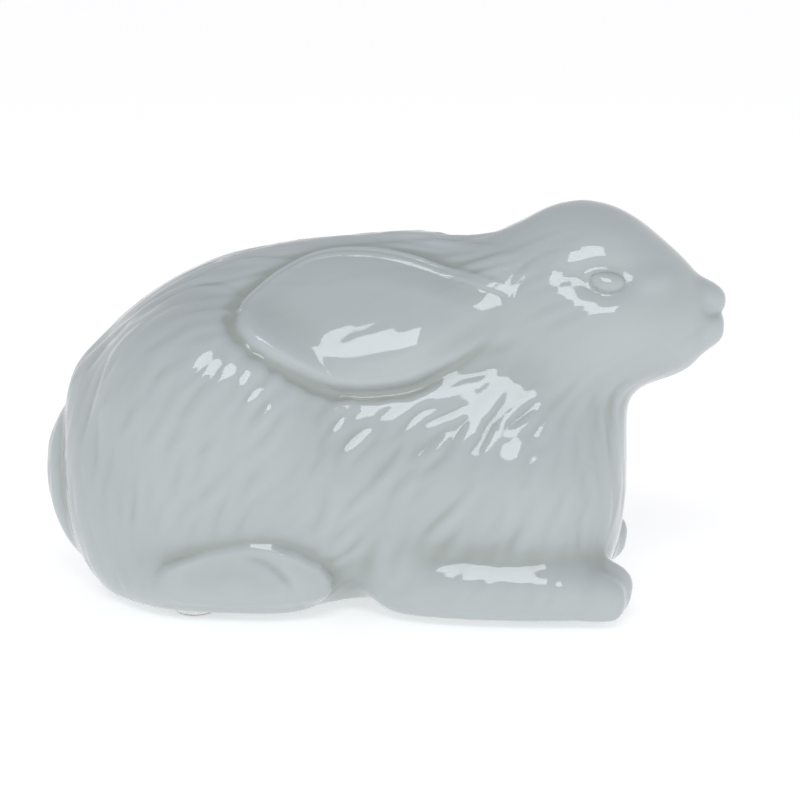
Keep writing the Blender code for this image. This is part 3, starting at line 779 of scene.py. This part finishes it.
def pooled_and_shaded(data):
    """Store on each point how deep it lies below the smoothed skin, 0 on a ridge to 1 in a groove: glaze
    pooling and painted shade.
    """
    rough_points, rough_normals = points_of(data)
    even_points = eased_points(data, rough_points, POOL_AND_SHADE_STEPS)
    depth = np.einsum("ij,ij->i", even_points - rough_points, rough_normals) * SHARE
    share = np.clip(0.5 + 0.5 * depth / POOL_AND_SHADE_DEPTH, 0, 1)
    layer = data.attributes.new("glaze_pool_and_shade", "FLOAT", "POINT")
    layer.data.foreach_set("value", share.astype(np.float32))


# Darker, greener colour in the grooves and creases: partly pooled glaze, partly painted shade
pooled_and_shaded(body)
glaze, shader = new_material("celadon_glaze_fired_gloss")
pool_and_shade = add_node(glaze, "ShaderNodeAttribute", {"attribute_name": "glaze_pool_and_shade"})
tone = add_node(glaze, "ShaderNodeValToRGB", links={"Fac": pool_and_shade.outputs["Fac"]})
tone.color_ramp.elements[0].position = THIN_UP_TO
tone.color_ramp.elements[0].color = colour(GLAZE_THIN)
# The groove end of the ramp: pooled glaze and painted shade in the recesses
tone.color_ramp.elements[1].position = POOLED_AND_SHADED_FROM
tone.color_ramp.elements[1].color = colour(GLAZE_POOLED_AND_SHADED)
middle_tone = tone.color_ramp.elements.new(0.5)
middle_tone.color = colour(GLAZE)
glaze.node_tree.links.new(tone.outputs["Color"], shader.inputs["Base Color"])
shader.inputs["Roughness"].default_value = GLAZE_ROUGHNESS
shader.inputs["IOR"].default_value = GLAZE_IOR

body.materials.clear()
body.materials.append(glaze)
body.shade_smooth()
rabbit = bpy.data.objects.new("rabbit_glazed", body)
bpy.context.scene.collection.objects.link(rabbit)
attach(rabbit, "root")
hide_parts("rabbit")

# Four clear self-adhesive bumpers keep the glaze off the shelf: cast discs of soft clear rubber with
# a rounded lower edge, each stuck on by a thin clear layer. They stand where the frame puts them.
PAD_NODES = (
    "bumper_pad_front_left",
    "bumper_pad_front_right",
    "bumper_pad_rear_left",
    "bumper_pad_rear_right",
)
PAD_LOW, PAD_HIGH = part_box(PAD_NODES[0])
PAD_DIAMETER = PAD_HIGH[0] - PAD_LOW[0]
PAD_EDGE_ROUNDING = 0.0007
PAD_SIDES = 64
PAD_SLICES = 16
PAD_RINGS = 8

# Clear moulded polyurethane rubber: the shelf shows through it, dimmed by its satin skin
CLEAR_RUBBER = "#CACDCC"
RUBBER_ROUGHNESS = 0.22
RUBBER_IOR = 1.45
RUBBER_CLEARNESS = 0.85


def pad_tree():
    """A disc on each point: its size and edge are inputs, and it reaches up to the casting."""
    tree = bpy.data.node_groups.new("bumper pads", "GeometryNodeTree")
    sockets = {}
    tree.interface.new_socket("Places", in_out="INPUT", socket_type="NodeSocketGeometry")
    for name in ("Radius", "Height", "Edge rounding"):
        sockets[name] = tree.interface.new_socket(name, in_out="INPUT", socket_type="NodeSocketFloat")
    sockets["Rubber"] = tree.interface.new_socket("Rubber", in_out="INPUT", socket_type="NodeSocketMaterial")
    tree.interface.new_socket("Pads", in_out="OUTPUT", socket_type="NodeSocketGeometry")

    def node(kind, links=None, operation=None, **values):
        new = tree.nodes.new(kind)
        if operation:
            new.operation = operation
        for name, value in values.items():
            new.inputs[name.replace("_", " ")].default_value = value
        for key, source in (links or {}).items():
            tree.links.new(source, new.inputs[key])
        return new

    given = node("NodeGroupInput").outputs
    disc = node("GeometryNodeMeshCylinder", {"Radius": given["Radius"], "Depth": given["Height"]},
                Vertices=PAD_SIDES, Side_Segments=PAD_SLICES, Fill_Segments=PAD_RINGS)
    half = node("ShaderNodeMath", {0: given["Height"]}, "MULTIPLY")
    half.inputs[1].default_value = 0.5
    place = node("GeometryNodeInputPosition")
    axes = node("ShaderNodeSeparateXYZ", {0: place.outputs[0]})
    above = node("ShaderNodeMath", {0: axes.outputs["Z"], 1: half.outputs[0]}, "ADD")
    short = node("ShaderNodeMath", {0: given["Edge rounding"], 1: above.outputs[0]}, "SUBTRACT")
    share = node("ShaderNodeMath", {0: short.outputs[0], 1: given["Edge rounding"]}, "DIVIDE")
    share.use_clamp = True
    square = node("ShaderNodeMath", {0: share.outputs[0], 1: share.outputs[0]}, "MULTIPLY")
    rest = node("ShaderNodeMath", {1: square.outputs[0]}, "SUBTRACT")
    rest.inputs[0].default_value = 1.0
    root = node("ShaderNodeMath", {0: rest.outputs[0]}, "SQRT")
    inward = node("ShaderNodeMath", {1: root.outputs[0]}, "SUBTRACT")
    inward.inputs[0].default_value = 1.0
    inset = node("ShaderNodeMath", {0: inward.outputs[0], 1: given["Edge rounding"]}, "MULTIPLY")
    ratio = node("ShaderNodeMath", {0: inset.outputs[0], 1: given["Radius"]}, "DIVIDE")
    scale = node("ShaderNodeMath", {1: ratio.outputs[0]}, "SUBTRACT")
    scale.inputs[0].default_value = 1.0
    wide = node("ShaderNodeMath", {0: axes.outputs["X"], 1: scale.outputs[0]}, "MULTIPLY")
    deep = node("ShaderNodeMath", {0: axes.outputs["Y"], 1: scale.outputs[0]}, "MULTIPLY")
    moved = node("ShaderNodeCombineXYZ", {"X": wide.outputs[0], "Y": deep.outputs[0], "Z": above.outputs[0]})
    rounded = node("GeometryNodeSetPosition",
                   {"Geometry": disc.outputs["Mesh"], "Position": moved.outputs[0]})
    copies = node("GeometryNodeInstanceOnPoints", {"Points": given["Places"], "Instance": rounded.outputs[0]})
    real = node("GeometryNodeRealizeInstances", {"Geometry": copies.outputs[0]})
    smooth = node("GeometryNodeSetShadeSmooth", {"Geometry": real.outputs[0]})
    coat = node("GeometryNodeSetMaterial", {"Geometry": smooth.outputs[0], "Material": given["Rubber"]})
    node("NodeGroupOutput", {0: coat.outputs[0]})
    return tree, {name: socket.identifier for name, socket in sockets.items()}


clear, shader = new_material("clear_bumper_rubber")
shader.inputs["Base Color"].default_value = colour(CLEAR_RUBBER)
shader.inputs["Roughness"].default_value = RUBBER_ROUGHNESS
shader.inputs["IOR"].default_value = RUBBER_IOR
shader.inputs["Transmission Weight"].default_value = RUBBER_CLEARNESS
places = bpy.data.meshes.new("pad places")
middles = []
for name in PAD_NODES:
    low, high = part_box(name)
    middles.append(((low[0] + high[0]) / 2, (low[1] + high[1]) / 2, low[2]))
places.from_pydata(middles, [], [])
pads = bpy.data.objects.new("bumper_pads", places)
bpy.context.scene.collection.objects.link(pads)
tree, inputs = pad_tree()
maker = pads.modifiers.new("pads", "NODES")
maker.node_group = tree
maker[inputs["Radius"]] = PAD_DIAMETER / 2
maker[inputs["Height"]] = BASE_HEIGHT
maker[inputs["Edge rounding"]] = PAD_EDGE_ROUNDING
maker[inputs["Rubber"]] = clear
graph = bpy.context.evaluated_depsgraph_get()
solid_pads = bpy.data.meshes.new_from_object(pads.evaluated_get(graph))
pads.modifiers.remove(maker)
pads.data = solid_pads
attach(pads, "root")
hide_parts(*PAD_NODES)

# The figurine stands on a plain opal sheet, which is lit a little from below, so it looks white and
# takes only a faint shadow.
FLOOR_SIZE = 6.0
OPAL_SHEET = "#EAEAEA"
OPAL_ROUGHNESS = 0.9
OPAL_GLOW = 0.46
mesh = bmesh.new()
bmesh.ops.create_grid(mesh, x_segments=1, y_segments=1, size=FLOOR_SIZE / 2)
data = bpy.data.meshes.new("floor")
mesh.to_mesh(data)
mesh.free()
floor = bpy.data.objects.new("floor", data)
bpy.context.scene.collection.objects.link(floor)
paper, shader = new_material("opal_light_table")
shader.inputs["Base Color"].default_value = colour(OPAL_SHEET)
shader.inputs["Roughness"].default_value = OPAL_ROUGHNESS
shader.inputs["Emission Color"].default_value = (1, 1, 1, 1)
shader.inputs["Emission Strength"].default_value = OPAL_GLOW
data.materials.append(paper)

# Light: a white room that is dimmer overhead and at both ends of the figurine, and one soft box
# above the camera.
ROOM_WALLS = (1, 1, 1, 1)
ROOM_CEILING = (0.36, 0.36, 0.39, 1)
ROOM_BEHIND_TAIL = (0.84, 0.84, 0.84, 1)
ROOM_BESIDE = (1.17, 1.17, 1.17, 1)
ROOM_BEFORE_NOSE = (1.0, 1.0, 1.0, 1)
world = bpy.data.worlds.new("white_room")
bpy.context.scene.world = world
world.use_nodes = True
sky = world.node_tree.nodes["Background"]
place = add_node(world, "ShaderNodeTexCoord")
axes = add_node(world, "ShaderNodeSeparateXYZ", links={"Vector": place.outputs["Generated"]})
room = add_node(world, "ShaderNodeValToRGB", links={"Fac": axes.outputs["Z"]})
room.color_ramp.elements[0].color = ROOM_WALLS
room.color_ramp.elements[1].color = ROOM_CEILING
world.node_tree.links.new(room.outputs["Color"], sky.inputs["Color"])
half_way = add_node(world, "ShaderNodeMapRange", links={"Value": axes.outputs["X"]}, From_Min=-1.0)
ends = add_node(world, "ShaderNodeValToRGB", links={"Fac": half_way.outputs["Result"]})
ends.color_ramp.elements[0].color = ROOM_BEHIND_TAIL
ends.color_ramp.elements[1].color = ROOM_BEFORE_NOSE
beside = ends.color_ramp.elements.new(0.5)
beside.color = ROOM_BESIDE
world.node_tree.links.new(ends.outputs["Color"], sky.inputs["Strength"])

TARGET_HEIGHT = 0.051
CAMERA_TARGET = Vector((0, 0, BASE_HEIGHT + TARGET_HEIGHT))
SOFT_BOX_TINT = (0.94, 0.97, 1.0)


def direction(azimuth, elevation):
    """A unit vector from the object: azimuth 0 towards -Y, growing towards +X."""
    a, e = math.radians(azimuth), math.radians(elevation)
    return Vector((math.cos(e) * math.sin(a), -math.cos(e) * math.cos(a), math.sin(e)))


def soft_box(name, azimuth, elevation, distance, width, height, power):
    """A rectangular area light that faces the figurine."""
    light = bpy.data.lights.new(name, "AREA")
    light.shape = "RECTANGLE"
    light.size = width
    light.size_y = height
    light.energy = power
    light.color = SOFT_BOX_TINT
    lamp = bpy.data.objects.new(name, light)
    way = direction(azimuth, elevation)
    lamp.location = CAMERA_TARGET + way * distance
    lamp.rotation_euler = (-way).to_track_quat("-Z", "Y").to_euler()
    bpy.context.scene.collection.objects.link(lamp)


soft_box("soft_box", azimuth=0, elevation=40, distance=1.6, width=0.64, height=0.44, power=5.2)

# The camera looks from the right side, a little towards the head and from above.
CAMERA_AZIMUTH = 5.0
CAMERA_ELEVATION = 12.0
CAMERA_DISTANCE = 0.8
FRAME_WIDTH_AT_TARGET = 0.21175
FRAME_CENTRE_SHIFT = (0.0235, -0.00125)
SENSOR = 36.0
camera_data = bpy.data.cameras.new("camera")
camera_data.sensor_width = SENSOR
camera_data.lens = SENSOR * CAMERA_DISTANCE / FRAME_WIDTH_AT_TARGET
camera_data.shift_x, camera_data.shift_y = FRAME_CENTRE_SHIFT
camera = bpy.data.objects.new("camera", camera_data)
way = direction(CAMERA_AZIMUTH, CAMERA_ELEVATION)
camera.location = CAMERA_TARGET + way * CAMERA_DISTANCE
camera.rotation_euler = (-way).to_track_quat("-Z", "Y").to_euler()
bpy.context.scene.collection.objects.link(camera)
bpy.context.scene.camera = camera
bpy.context.scene.view_settings.view_transform = "Standard"
